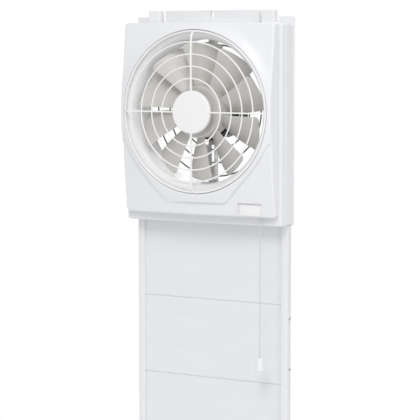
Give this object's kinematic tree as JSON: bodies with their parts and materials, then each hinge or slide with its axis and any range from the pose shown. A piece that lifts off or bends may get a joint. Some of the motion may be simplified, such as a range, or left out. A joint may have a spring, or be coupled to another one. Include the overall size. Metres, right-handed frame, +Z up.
{
  "type": "window ventilating fan",
  "caption": "Window-mounted ventilating fan with a square bezel, round grille, beige impeller, pull-cord switch and a white filler frame that telescopes down to the sill.",
  "frame": {"origin": "middle of the sill shoe's underside, in the plane that meets the window frame", "axes": "+X across the window to the right as seen from the room, +Y outdoors along the fan axis, +Z up"},
  "size_m": [0.2516, 0.1055, 0.7823],
  "materials": {
    "panel_white": "satin moulded white ABS, slightly cool",
    "grille_white": "satin moulded white, slightly warm",
    "frame_white": "fine-grained moulded off-white",
    "board_white": "matt off-white board with a fine grain",
    "throat_grey": "satin light grey",
    "blade_beige": "satin warm grey-beige polypropylene",
    "motor_black": "satin black",
    "rubber": "matt dark grey",
    "zinc": "galvanised sheet",
    "steel": "bright plated",
    "copper": "lacquered copper winding",
    "wire_grey": "grey coated wire",
    "foam": "open-cell sealing foam",
    "cord_white": "thin braided white cord"
  },
  "bodies": {
    "sill_section": {"sill_shoe": "frame_white", "lower_panel": "board_white", "lower_rail_right": "frame_white", "lower_rail_left": "frame_white"},
    "fan_unit": {"mounting_frame": "frame_white", "rear_flange": "frame_white", "orifice_ring": "throat_grey", "motor_stay": "zinc", "rear_guard": "wire_grey", "top_plate": "frame_white", "top_block_right": "frame_white", "top_block_left": "frame_white", "motor_front_housing": "motor_black", "motor_rear_housing": "motor_black", "bearing_front": "steel", "bearing_rear": "steel", "stator_core": "zinc", "winding_front": "copper", "winding_rear": "copper", "switch_body": "motor_black", "cord_eyelet": "panel_white", "motor_lead": "rubber", "terminal_block": "motor_black", "capacitor": "motor_black", "power_cord_gland": "rubber", "seal_right": "foam", "seal_left": "foam", "flange_screw_1": "steel", "flange_screw_2": "steel", "flange_screw_3": "steel", "flange_screw_4": "steel", "orifice_screw_1": "steel", "orifice_screw_2": "steel", "orifice_screw_3": "steel", "orifice_screw_4": "steel", "stay_screw_bottom": "steel", "stay_screw_top": "steel", "motor_screw_left": "steel", "motor_screw_right": "steel", "side_rail_right": "frame_white", "side_rail_left": "frame_white", "lock_screw_right_1": "steel", "lock_screw_left_1": "steel", "lock_screw_right_2": "steel", "lock_screw_left_2": "steel", "filler_slat_1": "board_white", "filler_slat_2": "board_white", "filler_slat_3": "board_white"},
    "front_panel": {"front_bezel": "panel_white", "front_grille": "grille_white", "label_plate": "grille_white"},
    "rotor": {"impeller": "blade_beige", "spinner_nut": "zinc", "motor_shaft": "steel", "rotor_core": "zinc"},
    "pull_switch": {"switch_slider": "panel_white", "pull_cord": "cord_white", "pull_knob": "panel_white"}
  },
  "joints": [
    {"name": "height_adjust", "type": "slide", "parent": "sill_section", "child": "fan_unit", "axis": [0, 0, 1], "range_m": [0, 0.11]},
    {"name": "impeller_spin", "type": "hinge", "parent": "fan_unit", "child": "rotor", "pos_m": [0, 0, 0.641], "axis": [0, -1, 0], "continuous": true},
    {"name": "panel_release", "type": "slide", "parent": "fan_unit", "child": "front_panel", "axis": [0, -1, 0], "range_m": [0, 0.05]},
    {"name": "switch_pull", "type": "slide", "parent": "fan_unit", "child": "pull_switch", "axis": [0, 0, -1], "range_m": [0, 0.015], "stiffness_N_per_m": 300, "springref_m": -0.002}
  ]
}
